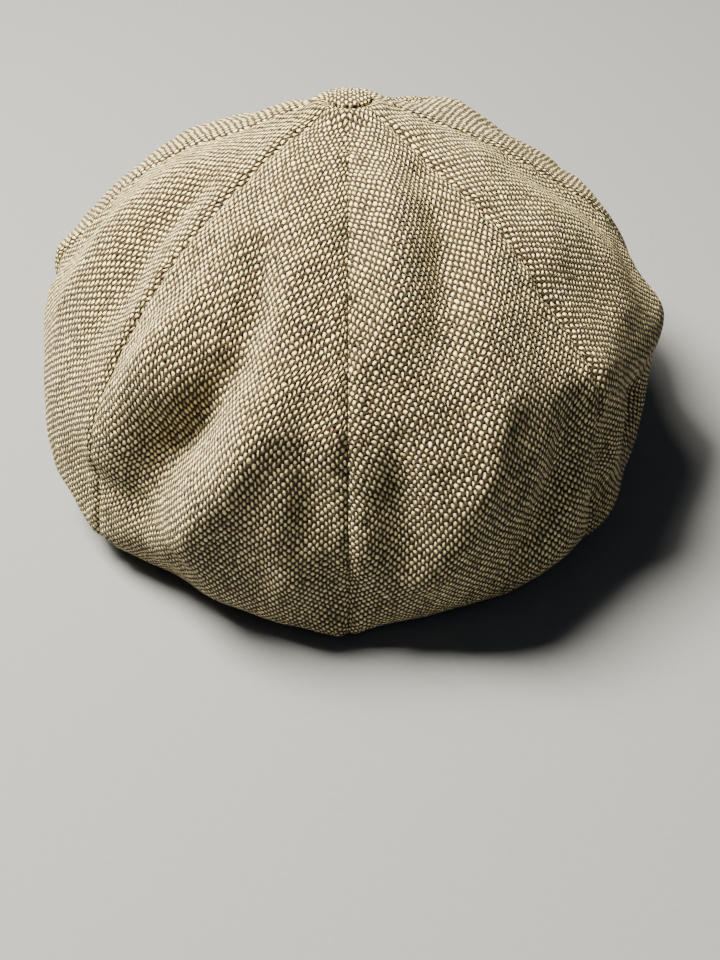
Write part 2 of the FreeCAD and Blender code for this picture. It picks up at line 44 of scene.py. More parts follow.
# Crown. Each three is for the rear, the sides and the front; the powers shape the dome's profile.
APEX = 168.0
EYELET = 3.0
FULL_RADIUS = (159.0, 141.0, 139.0)
FULL_HEIGHT = (45.0, 51.0, 52.0)
TOP_POWER = (2.3, 1.4, 1.0)
WALL_POWER = (1.9, 2.0, 1.5)
GORE_TURN = 45.0
GORE_BULGE = 1.6
ROLL = 14.0
ROLL_BOTTOM = 3.0
FRONT_ROLL_LIFT = 22.5
CROWN_JOIN = 27.0
REST_HEIGHT = 0.7

# Cloth thicknesses, and how far the lining lies inside the crown.
CLOTH = 1.2
SEAM_HALF_GAP = 0.08
LINING_INSET = 4.9
LINING_CLOTH = 0.5
HEM_TUCK = 1.6

# Ovals of the head opening, the headband's outside, and the line where crown and peak meet the band.
OPENING = (81.0, 102.0)
BAND_OUTER = (84.1, 105.1)
ROOT_AXES = (BAND_OUTER[0] + 0.3, BAND_OUTER[1] + 0.3)

# The button sits tilted forward on cloth drawn up to just below its base.
BUTTON_BASE = APEX - 0.2
BUTTON_TILT = math.radians(8.0)
BUTTON_GAP = 0.12

# Distance between yarns of the tweed.
PITCH_ACROSS = 1.62
PITCH_ALONG = 1.82


# ---------------------------------------- crown surface

def eased(values, turn):
    """Value at a turn that passes smoothly through the rear, side and front values."""
    rear, side, front = values
    second = ((rear + front) / 2.0 - side) / 2.0
    angle = np.radians(turn)
    return side + second + (rear - front) / 2.0 * np.cos(angle) + second * np.cos(2.0 * angle)


def smooth(value):
    """0 below 0, 1 above 1, and an S-curve between."""
    value = np.clip(value, 0.0, 1.0)
    return value * value * (3.0 - 2.0 * value)


def oval(half_width, half_length, turn):
    """Radius of an oval at turns in degrees."""
    angle = np.radians(turn)
    return 1.0 / np.hypot(np.sin(angle) / half_width, np.cos(angle) / half_length)


def base_point(signed_turn, stage):
    """Crown's outer face before folds; arrays of turn and stage give an array of points."""
    turn = np.abs(signed_turn)
    full = eased(FULL_RADIUS, turn) + GORE_BULGE * np.sin(np.pi * (turn % GORE_TURN) / GORE_TURN) ** 2
    full_z = eased(FULL_HEIGHT, turn)
    low_z = ROLL_BOTTOM + FRONT_ROLL_LIFT * smooth((turn - 92.0) / 68.0)
    roll = full - ROLL
    top_power = eased(TOP_POWER, turn)
    wall_power = eased(WALL_POWER, turn)
    first = np.arcsin((EYELET / full) ** (top_power / 2.0))
    angle = first + (np.pi / 2.0 - first) * np.clip(stage, 0.0, 1.0)
    dome_r = full * np.sin(angle) ** (2.0 / top_power)
    dome_z = full_z + (APEX - full_z) * np.clip(np.cos(angle), 0.0, None) ** (2.0 / wall_power)
    bend = np.clip(stage - 1.0, 0.0, 1.0) * np.pi / 2.0
    step = np.clip(stage - 2.0, 0.0, 1.0)
    band = oval(*ROOT_AXES, turn)
    under_z = low_z + (CROWN_JOIN - low_z) * (1.0 - np.cos(step * np.pi / 2.0))
    radius = np.where(stage <= 1.0, dome_r,
                      np.where(stage <= 2.0, roll + ROLL * np.cos(bend), roll - (roll - band) * step))
    height = np.where(stage <= 1.0, dome_z,
                      np.where(stage <= 2.0, full_z - (full_z - low_z) * np.sin(bend), under_z))
    angle = np.radians(signed_turn)
    return np.stack([radius * np.sin(angle), radius * np.cos(angle), height], -1)


def base_normal(turn, stage):
    """Outward normal of the smooth crown, from places a little way apart."""
    across = base_point(turn + 0.05, stage) - base_point(turn - 0.05, stage)
    below = base_point(turn, np.minimum(stage + 0.002, 3.0))
    above = base_point(turn, np.maximum(stage - 0.002, 0.0))
    normal = np.cross(across, below - above)
    return normal / np.maximum(np.linalg.norm(normal, axis=-1, keepdims=True), 1e-9)


class Waves:
    """Smooth repeatable noise: a sum of plane waves of about one wavelength."""

    def __init__(self, seed, wavelength, count=26):
        draw = np.random.default_rng(seed)
        way = draw.normal(size=(count, 3))
        way /= np.linalg.norm(way, axis=1, keepdims=True)
        self.number = way * (2.0 * np.pi / wavelength) * draw.uniform(0.7, 1.4, (count, 1))
        self.phase = draw.uniform(0.0, 2.0 * np.pi, count)
        self.scale = math.sqrt(2.0 / count)

    def __call__(self, points):
        total = np.zeros(points.shape[:-1])
        for number, phase in zip(self.number, self.phase):
            total += np.cos(points @ number + phase)
        return total * self.scale


# Folds: (depth, half width, [(turn, stage), ...]); negative depth is a valley. The half width may
# be a pair, for the start and the end. Every depth is multiplied by FOLD_GAIN.
FOLD_GAIN = 1.35
FOLDS = [
    # Left rear gore: small dip, then the deep valley running down and outward between two crests.
    (-5.5, (7.0, 9.0), [(23, .34), (20, .44), (20, .54)]),
    (-10.5, (9.0, 14.0), [(22, .58), (26, .69), (31, .80), (35, .95)]),
    (4.5, (9.0, 12.0), [(11, .58), (15, .70), (20, .83), (26, .98)]),
    (4.5, (8.0, 12.0), [(32, .48), (36, .60), (40, .72), (44, .88)]),
    # Left side gore.
    (-4.0, (7.0, 12.0), [(58, .34), (56, .46), (54, .58), (54, .70)]),
    (3.0, 11.0, [(72, .38), (70, .55), (68, .72)]),
    # Centre back: slight dips and the hollow low down.
    (-1.6, 9.0, [(-4, .25), (-5, .45), (-6, .60)]),
    (-2.5, 9.0, [(3, .72), (2, .95), (0, 1.2)]),
    (2.0, 8.0, [(9, .90), (9, 1.05), (9, 1.2)]),
    # Right rear gore: broad shallow valley, then a crest with the dark hollow beyond it.
    (-6.0, (9.0, 12.0), [(-34, .20), (-31, .28), (-27, .36), (-23, .43), (-19, .50)]),
    (3.0, (8.0, 10.0), [(-14, .20), (-12, .30), (-9, .40), (-6, .50)]),
    (5.0, (9.0, 12.0), [(-25, .66), (-22, .74), (-19, .82), (-16, .91), (-12, 1.02)]),
    (-5.5, (11.0, 15.0), [(-39, .76), (-36, .85), (-32, .95), (-26, 1.08)]),
    (-4.0, (7.0, 11.0), [(-8, .68), (-8, .80), (-8, .95)]),
    (-2.8, (6.0, 8.0), [(7, .70), (6, .82), (8, .96)]),
    (-3.5, (7.0, 9.0), [(-48, .82), (-47, .96), (-46, 1.15)]),
    # Right side: dimple near the seam, then the bulge.
    (-2.5, 11.0, [(-80, .40), (-82, .54), (-82, .66)]),
    (4.0, 14.0, [(-84, .86), (-76, .86), (-68, .88)]),
    (-3.0, 10.0, [(-70, 1.05), (-62, .92), (-56, .86)]),
    # Tuck low on the left.
    (-1.6, 7.0, [(29, 1.0), (27, 1.15), (26, 1.3)]),
    # Front, unseen from behind: slack folds above the peak.
    (-4.5, (8.0, 13.0), [(156, .38), (150, .58), (141, .76), (130, .92)]),
    (3.0, (8.0, 12.0), [(166, .52), (160, .70), (152, .86), (143, 1.0)]),
    (-3.0, (8.0, 12.0), [(172, .62), (176, .78), (181, .92)]),
    (-4.5, (8.0, 12.0), [(-150, .40), (-146, .58), (-138, .74), (-128, .88)]),
    (3.0, (8.0, 12.0), [(-163, .56), (-158, .72), (-148, .88), (-138, 1.02)]),
    (-3.5, (7.0, 11.0), [(112, .42), (115, .60), (121, .78), (128, .94)]),
    (-3.0, (7.0, 11.0), [(-112, .40), (-112, .58), (-116, .76), (-122, .92)]),
    (2.5, 10.0, [(100, .62), (104, .76), (110, .92)]),
    (-3.0, (7.0, 10.0), [(84, .60), (86, .76), (92, .92), (98, 1.1)]),
]

# Broad unevenness of the fullness: (height, half width, turn, stage).
FULLNESS = [
    (3.5, 20.0, 90, .83),
    (3.0, 26.0, 98, .45),
    (-4.0, 16.0, 103, .72),
    (2.5, 20.0, 118, .50),
    (-2.5, 16.0, 74, .96),
    (1.0, 20.0, 180, .13),
    (1.5, 24.0, -150, .20),
    (7.5, 22.0, -133, .38),
    (-10.0, 15.0, -91, .82),
    (-9.0, 24.0, -68, .96),
    (-4.5, 24.0, -58, 1.08),
    (-13.0, 16.0, -66, 1.10),
    (3.0, 16.0, -52, 1.5),
    (2.0, 24.0, -36, 1.25),
    (-3.0, 18.0, -15, 1.7),
    (6.0, 13.0, 1, 1.75),
    (-4.5, 17.0, 30, 1.66),
    (5.0, 24.0, 57, 1.2),
    (5.5, 18.0, -46, .73),
    (4.5, 18.0, 46, 1.45),
    (2.5, 13.0, 93, .80),
]


def spine_of(knots, count=40):
    """Points and 0-1 places along a fold's centre line, drawn as a smooth curve on the crown."""
    knots = np.array(knots, float)
    ends = np.vstack([2 * knots[0] - knots[1], knots, 2 * knots[-1] - knots[-2]])
    places = np.linspace(0.0, len(knots) - 1.0, count)
    index = np.minimum(places.astype(int), len(knots) - 2)
    t = (places - index)[:, None]
    a, b, c, d = (ends[index + shift] for shift in range(4))
    curve = 0.5 * (2 * b + (c - a) * t + (2 * a - 5 * b + 4 * c - d) * t ** 2
                   + (3 * b - a - 3 * c + d) * t ** 3)
    return base_point(curve[:, 0], curve[:, 1]), places / (len(knots) - 1.0)


def folds(points):
    """Height of the cloth above its smooth shape."""
    height = np.zeros(len(points))
    for depth, width, knots in FOLDS:
        spine, place = spine_of(knots)
        near = np.full(len(points), 1e9)
        along = np.zeros(len(points))
        for centre, at in zip(spine, place):
            distance = ((points - centre) ** 2).sum(-1)
            closer = distance < near
            near = np.where(closer, distance, near)
            along = np.where(closer, at, along)
        first, last = width if isinstance(width, tuple) else (width, width)
        spread = first + (last - first) * along
        taper = 0.55 + 0.45 * np.sin(np.pi * along)
        height += FOLD_GAIN * depth * taper * np.exp(-near / spread ** 2)
    for depth, width, turn, stage in FULLNESS:
        centre = base_point(np.array([float(turn)]), np.array([float(stage)]))[0]
        height += depth * np.exp(-((points - centre) ** 2).sum(-1) / width ** 2)
    return height


# Small unevenness of the cloth: broad, fine, and along seams, each with its height.
SLACK = Waves(3, 46.0)
CRUMPLE = Waves(4, 19.0)
PUCKER = Waves(5, 9.0)
SLACK_HEIGHT = 0.6
CRUMPLE_HEIGHT = 0.16
PUCKER_HEIGHT = 0.28


def seam_height(turn, stage, point, radius):
    """Height added near the seams: a sunk line, a low ridge beside it, and puckers."""
    beside = np.abs((turn + GORE_TURN / 2.0) % GORE_TURN - GORE_TURN / 2.0)
    gap = radius * np.sin(np.radians(beside))
    scale = np.clip(radius / 30.0, 0.25, 1.0)
    live = smooth((radius - 4.0) / 14.0) * (1.0 - 0.6 * smooth((stage - 2.0) / 0.6))
    sunk = 1.0 + 0.4 * smooth(np.abs(turn) / 12.0)
    groove = -sunk * np.exp(-(gap / (1.4 * scale)) ** 2) - 0.9 * np.exp(-(gap / (9.0 * scale)) ** 2)
    ridge = 0.4 * np.exp(-((gap - 5.0 * scale) / (2.4 * scale)) ** 2)
    pucker = PUCKER_HEIGHT * PUCKER(point) * np.exp(-(gap / 9.0) ** 2)
    return (groove * scale + ridge * scale + pucker) * live


def drawn_to_button(point, radius):
    """Height change that draws the cloth up to the button's base and puffs it round its edge."""
    under = BUTTON_BASE - BUTTON_GAP + point[:, 1] * math.tan(BUTTON_TILT)
    near = 1.0 - smooth((radius - 10.0) / 13.0)
    puff = 1.1 * np.exp(-((radius - 13.5) / 3.2) ** 2)
    return (under - point[:, 2]) * near + puff


def crown_point(turn, stage, inset=0.0, seam=True):
    """The crown's cloth with folds; inset moves it inward, seam adds the seams and the button's pull."""
    shape = turn.shape
    turn, stage = turn.ravel(), stage.ravel()
    point = base_point(turn, stage)
    normal = base_normal(turn, stage)
    radius = np.hypot(point[:, 0], point[:, 1])
    front_low = smooth((np.abs(turn) - 95.0) / 50.0) * smooth((stage - 0.9) / 0.5)
    calm = smooth((radius - 8.0) / 22.0) * (1.0 - smooth((stage - 1.5) / 1.0)) * (1.0 - 0.85 * front_low)
    height = (folds(point) + SLACK_HEIGHT * SLACK(point) + CRUMPLE_HEIGHT * CRUMPLE(point)) * calm
    if seam:
        height += seam_height(turn, stage, point, radius)
    point = point + normal * (height - inset)[:, None]
    if seam:
        point[:, 2] += drawn_to_button(point, radius)
    # The roll flattens where it would sink below the resting plane.
    point[:, 2] = np.maximum(point[:, 2], REST_HEIGHT + 0.12 * (point[:, 2] - REST_HEIGHT))
    return point.reshape(*shape, 3)


# ---------------------------------------- meshes

def outward_normals(points):
    """Unit normals of a gore's grid of points, away from the cap's middle."""
    normal = np.cross(np.gradient(points, axis=0), np.gradient(points, axis=1))
    normal = normal / np.maximum(np.linalg.norm(normal, axis=-1, keepdims=True), 1e-12)
    row, column = points.shape[0] // 3, points.shape[1] // 2
    if (normal[row, column] * points[row, column]).sum() < 0:
        normal = -normal
    normal[0] = normal[1]
    return normal


def linked(name, data):
    """New object in the scene."""
    item = bpy.data.objects.new(name, data)
    bpy.context.scene.collection.objects.link(item)
    return item


def mesh_object(name, vertices, quads, uv, material):
    """Object from vertices in mm, four-cornered faces and one flat-pattern place per vertex."""
    mesh = bpy.data.meshes.new(name)
    mesh.vertices.add(len(vertices))
    mesh.vertices.foreach_set("co", (np.asarray(vertices) * MM).astype(np.float32).ravel())
    quads = np.asarray(quads, np.int32)
    mesh.loops.add(quads.size)
    mesh.loops.foreach_set("vertex_index", quads.ravel())
    mesh.polygons.add(len(quads))
    mesh.polygons.foreach_set("loop_start", np.arange(0, quads.size, 4, dtype=np.int32))
    mesh.polygons.foreach_set("use_smooth", np.ones(len(quads), bool))
    mesh.update(calc_edges=True)
    layer = mesh.uv_layers.new(name="flat_mm")
    layer.data.foreach_set("uv", np.asarray(uv, np.float32)[quads.ravel()].ravel())
    mesh.validate()
    mesh.materials.append(material)
    return linked(name, mesh)


def shell(name, outer, inner, uv, material, stands_for):
    """Closed cloth piece between two grids of points, with a rim of its own thickness."""
    rows, columns = outer.shape[:2]
    index = np.arange(rows * columns).reshape(rows, columns)
    inside = index + rows * columns

    def faces(table, flip):
        corners = [table[:-1, :-1], table[1:, :-1], table[1:, 1:], table[:-1, 1:]]
        quad = np.stack(corners, -1).reshape(-1, 4)
        return quad[:, ::-1] if flip else quad

    def rim(one, two):
        return np.stack([one[:-1], one[1:], two[1:], two[:-1]], -1)

    quads = [faces(index, False), faces(inside, True),
             rim(index[0], inside[0]), rim(inside[-1], index[-1]),
             rim(inside[:, 0], index[:, 0]), rim(index[:, -1], inside[:, -1])]
    vertices = np.concatenate([outer.reshape(-1, 3), inner.reshape(-1, 3)])
    quads = np.concatenate(quads)
    a, b, c, d = (vertices[quads[:, k]] for k in range(4))
    volume = (np.cross(b - a, c - a) * a).sum() + (np.cross(c - a, d - a) * a).sum()
    if volume < 0:
        quads = quads[:, ::-1]
    flat = np.concatenate([uv.reshape(-1, 2), uv.reshape(-1, 2)])
    item = mesh_object(name, vertices, quads, flat, material)
    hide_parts(*stands_for)
    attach(item, "root")
    return item


def surface_area(points):
    """Area in square mm of a grid of points."""
    one = np.cross(points[1:, :-1] - points[:-1, :-1], points[:-1, 1:] - points[:-1, :-1])
    two = np.cross(points[1:, :-1] - points[1:, 1:], points[:-1, 1:] - points[1:, 1:])
    return 0.5 * (np.linalg.norm(one, axis=-1).sum() + np.linalg.norm(two, axis=-1).sum())


def spaced_columns(count, edge):
    """0-1 places across a gore, closer together near both seams."""
    t = np.linspace(-1.0, 1.0, count)
    return 0.5 + 0.5 * (t * (1.0 - edge) + edge * np.sin(t * np.pi / 2.0))


def gore_pattern(start, side, stages, columns, inset, outer=None):
    """Flat-pattern places (across, along) in mm for a gore, and its (width, length, area).

    With outer, the places across follow the cloth as folded; without, the smooth crown's girth.
    """
    middle = base_point(np.full(stages.shape, side * (start + GORE_TURN / 2.0)), stages)
    along = np.concatenate([[0.0], np.cumsum(np.linalg.norm(np.diff(middle, axis=0), axis=1))])
    half = (np.hypot(middle[:, 0], middle[:, 1]) - 0.5 * inset) * math.radians(GORE_TURN / 2.0)
    slope = np.gradient(half, along)
    slope = np.convolve(np.pad(slope, 8, mode="edge"), np.ones(17) / 17.0, mode="valid")
    place = (columns - 0.5) * 2.0
    if outer is None:
        u = half[:, None] * place[None, :]
    else:
        step = np.linalg.norm(np.diff(outer, axis=1), axis=-1)
        u = np.concatenate([np.zeros((len(stages), 1)), np.cumsum(step, axis=1)], axis=1)
        u = u - 0.5 * (u[:, [len(columns) // 2]] + u[:, [(len(columns) - 1) // 2]])
    v = along[:, None] - (slope * half)[:, None] * place[None, :] ** 2 / 2.0
    area = np.sum(np.diff(along) * (half[1:] + half[:-1]))
    return np.stack([u, v], -1), (2.0 * half.max(), along[-1] - along[0], area)


def stages_for(count, turn, first=0.0):
    """Stages at even steps of length down the smooth crown to the headband."""
    fine = np.linspace(first, 3.0, 1500)
    line = base_point(np.full(fine.shape, turn), fine)
    along = np.concatenate([[0.0], np.cumsum(np.linalg.norm(np.diff(line, axis=0), axis=1))])
    return np.interp(np.linspace(0.0, along[-1], count), along, fine)


# ---------------------------------------- materials

class Ex:
    """A number or vector inside a material, so that node trees can be written as formulas."""

    def __init__(self, tree, socket):
        self.tree, self.socket = tree, socket

    def _math(self, kind, *others, clamp=False):
        node = self.tree.nodes.new("ShaderNodeMath")
        node.operation = kind
        node.use_clamp = clamp
        for slot, value in enumerate((self,) + others):
            if isinstance(value, Ex):
                self.tree.links.new(value.socket, node.inputs[slot])
            else:
                node.inputs[slot].default_value = float(value)
        return Ex(self.tree, node.outputs[0])

    def __add__(self, other):
        return self._math("ADD", other)

    def __mul__(self, other):
        return self._math("MULTIPLY", other)

    def __sub__(self, other):
        return self._math("SUBTRACT", other)

    def __truediv__(self, other):
        return self._math("DIVIDE", other)

    def floor(self):
        return self._math("FLOOR")

    def cos(self):
        return self._math("COSINE")

    def maximum(self, other):
        return self._math("MAXIMUM", other)

    def minimum(self, other):
        return self._math("MINIMUM", other)

    def clip(self):
        return self._math("ADD", 0.0, clamp=True)

    def fit(self, low, high, new_low=0.0, new_high=1.0, soft=False):
        node = self.tree.nodes.new("ShaderNodeMapRange")
        node.interpolation_type = "SMOOTHSTEP" if soft else "LINEAR"
        self.tree.links.new(self.socket, node.inputs["Value"])
        limits = {"From Min": low, "From Max": high, "To Min": new_low, "To Max": new_high}
        for name, value in limits.items():
            node.inputs[name].default_value = value
        return Ex(self.tree, node.outputs["Result"])


def combine(x, y, z=0.0):
    """A vector from three numbers, of which x or y is a formula."""
    tree = x.tree if isinstance(x, Ex) else y.tree
    node = tree.nodes.new("ShaderNodeCombineXYZ")
    for slot, value in enumerate((x, y, z)):
        if isinstance(value, Ex):
            tree.links.new(value.socket, node.inputs[slot])
        else:
            node.inputs[slot].default_value = value
    return Ex(tree, node.outputs[0])


def random_of(x, y=0.0, seed=0.0):
    """A number from 0 to 1 that is constant within a cell."""
    node = x.tree.nodes.new("ShaderNodeTexWhiteNoise")
    node.noise_dimensions = "3D"
    x.tree.links.new(combine(x, y, seed).socket, node.inputs["Vector"])
    return Ex(x.tree, node.outputs["Value"])


def noise(vector, scale=1.0, detail=2.0, roughness=0.5):
    """Soft noise around 0.5 at a place."""
    node = vector.tree.nodes.new("ShaderNodeTexNoise")
    node.noise_dimensions = "3D"
    vector.tree.links.new(vector.socket, node.inputs["Vector"])
    node.inputs["Scale"].default_value = scale
    node.inputs["Detail"].default_value = detail
    node.inputs["Roughness"].default_value = roughness
    return Ex(vector.tree, node.outputs["Fac"])


def blend(factor, one, two):
    """Mix of two colours, each a colour socket or an (r, g, b) tuple."""
    node = factor.tree.nodes.new("ShaderNodeMix")
    node.data_type = "RGBA"
    factor.tree.links.new(factor.socket, node.inputs["Factor"])
    for slot, value in (("A", one), ("B", two)):
        socket = [s for s in node.inputs if s.name == slot and s.type == "RGBA"][0]
        if isinstance(value, Ex):
            factor.tree.links.new(value.socket, socket)
        else:
            socket.default_value = (*value, 1.0)
    return Ex(factor.tree, [s for s in node.outputs if s.type == "RGBA"][0])


def scaled(colour, level):
    """A colour times a number."""
    node = colour.tree.nodes.new("ShaderNodeVectorMath")
    node.operation = "SCALE"
    colour.tree.links.new(colour.socket, node.inputs[0])
    colour.tree.links.new(level.socket, node.inputs["Scale"])
    return Ex(colour.tree, node.outputs[0])


def new_material(name):
    """Material with a tree that holds only its surface shader, joined to the output."""
    material = bpy.data.materials.new(name)
    material.use_nodes = True
    tree = material.node_tree
    tree.nodes.clear()
    out = tree.nodes.new("ShaderNodeOutputMaterial")
    surface = tree.nodes.new("ShaderNodeBsdfPrincipled")
    tree.links.new(surface.outputs[0], out.inputs["Surface"])
    return material, tree, surface


def flat_place(tree):
    """Place across and along the piece's flat pattern, in mm."""
    node = tree.nodes.new("ShaderNodeUVMap")
    node.uv_map = "flat_mm"
    parts = tree.nodes.new("ShaderNodeSeparateXYZ")
    tree.links.new(node.outputs[0], parts.inputs[0])
    return Ex(tree, parts.outputs[0]), Ex(tree, parts.outputs[1])


def solid_place(tree):
    """Object-space position in mm."""
    node = tree.nodes.new("ShaderNodeTexCoord")
    scale = tree.nodes.new("ShaderNodeVectorMath")
    scale.operation = "SCALE"
    scale.inputs["Scale"].default_value = 1.0 / MM
    tree.links.new(node.outputs["Object"], scale.inputs[0])
    return Ex(tree, scale.outputs[0])


def finish_surface(tree, surface, colour, height, depth_mm, roughness, specular,
                   sheen=0.0, sheen_tint=(1.0, 1.0, 1.0)):
    """Join colour and bump to the shader and set its plain values."""
    tree.links.new(colour.socket, surface.inputs["Base Color"])
    bump = tree.nodes.new("ShaderNodeBump")
    bump.inputs["Strength"].default_value = 1.0
    bump.inputs["Distance"].default_value = depth_mm * MM
    tree.links.new(height.socket, bump.inputs["Height"])
    tree.links.new(bump.outputs[0], surface.inputs["Normal"])
    if isinstance(roughness, Ex):
        tree.links.new(roughness.socket, surface.inputs["Roughness"])
    else:
        surface.inputs["Roughness"].default_value = roughness
    surface.inputs["Specular IOR Level"].default_value = specular
    if sheen:
        surface.inputs["Sheen Weight"].default_value = sheen
        surface.inputs["Sheen Roughness"].default_value = 0.5
        surface.inputs["Sheen Tint"].default_value = (*sheen_tint, 1.0)


def plain_weave(name, pitch, warp, weft, fleck, depth, sheen):
    """Plain weave: light warp floats in a checkerboard over a dark weft."""
    material, tree, surface = new_material(name)
    u, v = flat_place(tree)

    # Yarn numbers across and along, with slow drift and quick wobble of the yarns' paths.
    drift = noise(combine(u, v), 0.028, 2.0) - 0.5
    drift_two = noise(combine(v, u, 40.0), 0.033, 2.0) - 0.5
    wobble = noise(combine(u, v, 9.0), 0.27, 1.0) - 0.5
    wobble_two = noise(combine(u, v, 60.0), 0.27, 1.0) - 0.5
    across = u / pitch[0] + drift * 1.8 + wobble * 1.05
    along = v / pitch[1] + drift_two * 1.8 + wobble_two * 0.8
    column, row = across.floor(), along.floor()
    fu = across - column - 0.5
    fv = along - row - 0.5
    over = ((column + row) * math.pi).cos()

    # Round yarns of uneven width that rise and dip; the higher one shows, with a ragged edge.
    slub = noise(combine(column * 7.3, v * 0.035), 1.0, 2.0)
    slub_weft = noise(combine(u * 0.035, row * 5.1, 3.0), 1.0, 2.0)
    per_float = random_of(column, row, 1.0)
    warp_half = slub.fit(0.3, 0.7, 0.38, 0.52) + per_float * 0.20 - 0.08
    weft_half = slub_weft.fit(0.3, 0.7, 0.34, 0.52)
    warp_side = fu / warp_half
    weft_side = fv / weft_half
    warp_top = (warp_side * warp_side) * -0.95 + 0.80 + over * (fv * math.pi).cos() * 0.5
    weft_top = (weft_side * weft_side) * -0.50 + 0.42 - over * (fu * math.pi).cos() * 0.5
    ragged = noise(combine(u, v, 33.0), 2.2, 2.0, 0.7) - 0.5
    mask = (warp_top - weft_top + ragged * 0.75).fit(0.0, 0.30, soft=True)
    top = warp_top.maximum(weft_top)

    # Colour of each yarn and float, with fibres along it and a few rust flecks; painted shade darkens each
    # warp float towards its edges, and a painted highlight brightens its top.
    per_warp = random_of(column, 0.0, 2.0)
    per_weft = random_of(row, 0.0, 3.0)
    fibre = noise(combine(u * 5.0, v * 1.6), 1.0, 2.0, 0.6)
    fibre_weft = noise(combine(u * 1.6, v * 5.0, 5.0), 1.0, 2.0, 0.6)
    light = random_of(column, row, 5.0) * 0.66 + 0.56 + (per_warp - 0.5) * 0.20
    light = light * fibre.fit(0.25, 0.75, 0.80, 1.18)
    warp_colour = blend(random_of(column, row, 7.0).fit(0.45, 1.0, soft=True), warp[0], warp[1])
    warp_colour = blend(random_of(column, row, 8.0).fit(0.990, 1.0), warp_colour, fleck)
    weft_colour = blend(per_weft.fit(0.3, 1.0, soft=True), weft[0], weft[1])
    weft_colour = blend(fibre_weft.fit(0.54, 0.86), weft_colour, weft[2])
    # Painted shade and painted highlight on the warp floats: darker at their edges, lighter than their own
    # colour along their tops.
    edge = warp_top.fit(0.40, 1.22, 0.08, 1.46)
    shade = (edge - 1.0) * mask + 1.0
    patch = noise(combine(u, v, 21.0), 0.05, 3.0).fit(0.3, 0.7, 0.90, 1.10)
    level = (((light - 1.0) * mask + 1.0) * shade * patch).minimum(1.08)
    colour = scaled(blend(mask, weft_colour, warp_colour), level)
    height = top + (fibre - 0.5) * 0.10 + (per_float - 0.5) * 0.12
    finish_surface(tree, surface, colour, height, depth, 0.92, 0.15, sheen, (1.0, 0.93, 0.80))
    return material


def close_weave(name, dark, light, pitch, slant, roughness, depth, sheen, specular):
    """Fine close weave whose ribs run across (slant 0) or diagonally."""
    material, tree, surface = new_material(name)
    u, v = flat_place(tree)
    drift = noise(combine(u, v), 0.05, 2.0)
    line = (v + u * slant) / pitch + drift * 1.2
    rib = (line * (2.0 * math.pi)).cos() * 0.5 + 0.5
    cross = ((u - v * slant) / pitch + drift).floor()
    bead = ((u - v * slant) / pitch * (2.0 * math.pi) + drift).cos() * 0.5 + 0.5
    yarn = random_of(line.floor(), cross, 4.0)
    cloud = noise(combine(u, v, 11.0), 0.09, 3.0)
    tone = (rib * 0.45 + bead * 0.2 + yarn * 0.2 + cloud * 0.35).clip()
    colour = blend(tone, dark, light)
    height = rib * 0.7 + bead * 0.3 + yarn * 0.1
    rough = cloud.fit(0.3, 0.7, roughness - 0.07, roughness + 0.07)
    finish_surface(tree, surface, colour, height, depth, rough, specular, sheen, light)
    return material


def hard_material(name, dark, light, metallic, roughness, grain, stretch, depth, specular):
    """Moulded or pressed material with fine grain, cloudy tone and uneven gloss."""
    material, tree, surface = new_material(name)
    place = solid_place(tree)
    parts = tree.nodes.new("ShaderNodeSeparateXYZ")
    tree.links.new(place.socket, parts.inputs[0])
    x, y, z = (Ex(tree, parts.outputs[k]) for k in range(3))
    fine = noise(combine(x * stretch, y, z * stretch), grain, 3.0, 0.6)
    cloud = noise(place, 0.12, 3.0)
    colour = blend((fine * 0.6 + cloud * 0.4).clip(), dark, light)
    rough = (fine * 0.5 + cloud * 0.5).fit(0.3, 0.7, roughness - 0.1, roughness + 0.1)
    surface.inputs["Metallic"].default_value = metallic
    finish_surface(tree, surface, colour, fine, depth, rough, specular)
    return material


# Tweed yarns: two creams, three browns from dark to light, and the flecks.
CREAM = ((0.90, 0.775, 0.43), (0.74, 0.60, 0.31))
BROWN = ((0.015, 0.009, 0.006), (0.036, 0.022, 0.015), (0.12, 0.078, 0.052))
RUST = (0.36, 0.19, 0.10)
THREAD = dict(pitch=0.25, slant=0.6, roughness=0.6, depth=0.03, sheen=0.1, specular=0.4)

tweed = plain_weave("tweed_plain_weave", (PITCH_ACROSS, PITCH_ALONG), CREAM, BROWN, RUST,
                    depth=1.0, sheen=0.12)
satin = close_weave("lining_satin", (0.030, 0.022, 0.016), (0.085, 0.065, 0.050),
                    pitch=0.55, slant=0.0, roughness=0.38, depth=0.03, sheen=0.2, specular=0.5)
twill = close_weave("sweatband_twill", (0.014, 0.012, 0.010), (0.060, 0.050, 0.042),
                    pitch=0.75, slant=1.0, roughness=0.8, depth=0.08, sheen=0.2, specular=0.3)
buckram = close_weave("stiffener_buckram", (0.46, 0.44, 0.38), (0.80, 0.78, 0.72),
                      pitch=1.1, slant=0.0, roughness=0.85, depth=0.12, sheen=0.0, specular=0.3)
damask = close_weave("label_damask", (0.34, 0.30, 0.22), (0.60, 0.55, 0.45),
                     pitch=0.5, slant=0.0, roughness=0.55, depth=0.05, sheen=0.2, specular=0.4)
thread_dark = close_weave("thread_dark", (0.02, 0.016, 0.012), (0.09, 0.07, 0.055), **THREAD)
thread_tan = close_weave("thread_tan", (0.20, 0.155, 0.10), (0.42, 0.34, 0.23), **THREAD)
moulded = hard_material("peak_board_moulded", (0.50, 0.48, 0.42), (0.66, 0.64, 0.58),
                        metallic=0.0, roughness=0.5, grain=1.4, stretch=1.0, depth=0.03, specular=0.5)
steel = hard_material("button_steel", (0.42, 0.42, 0.43), (0.66, 0.66, 0.67),
                      metallic=1.0, roughness=0.35, grain=3.0, stretch=0.1, depth=0.01, specular=0.5)

# ---------------------------------------- crown and lining

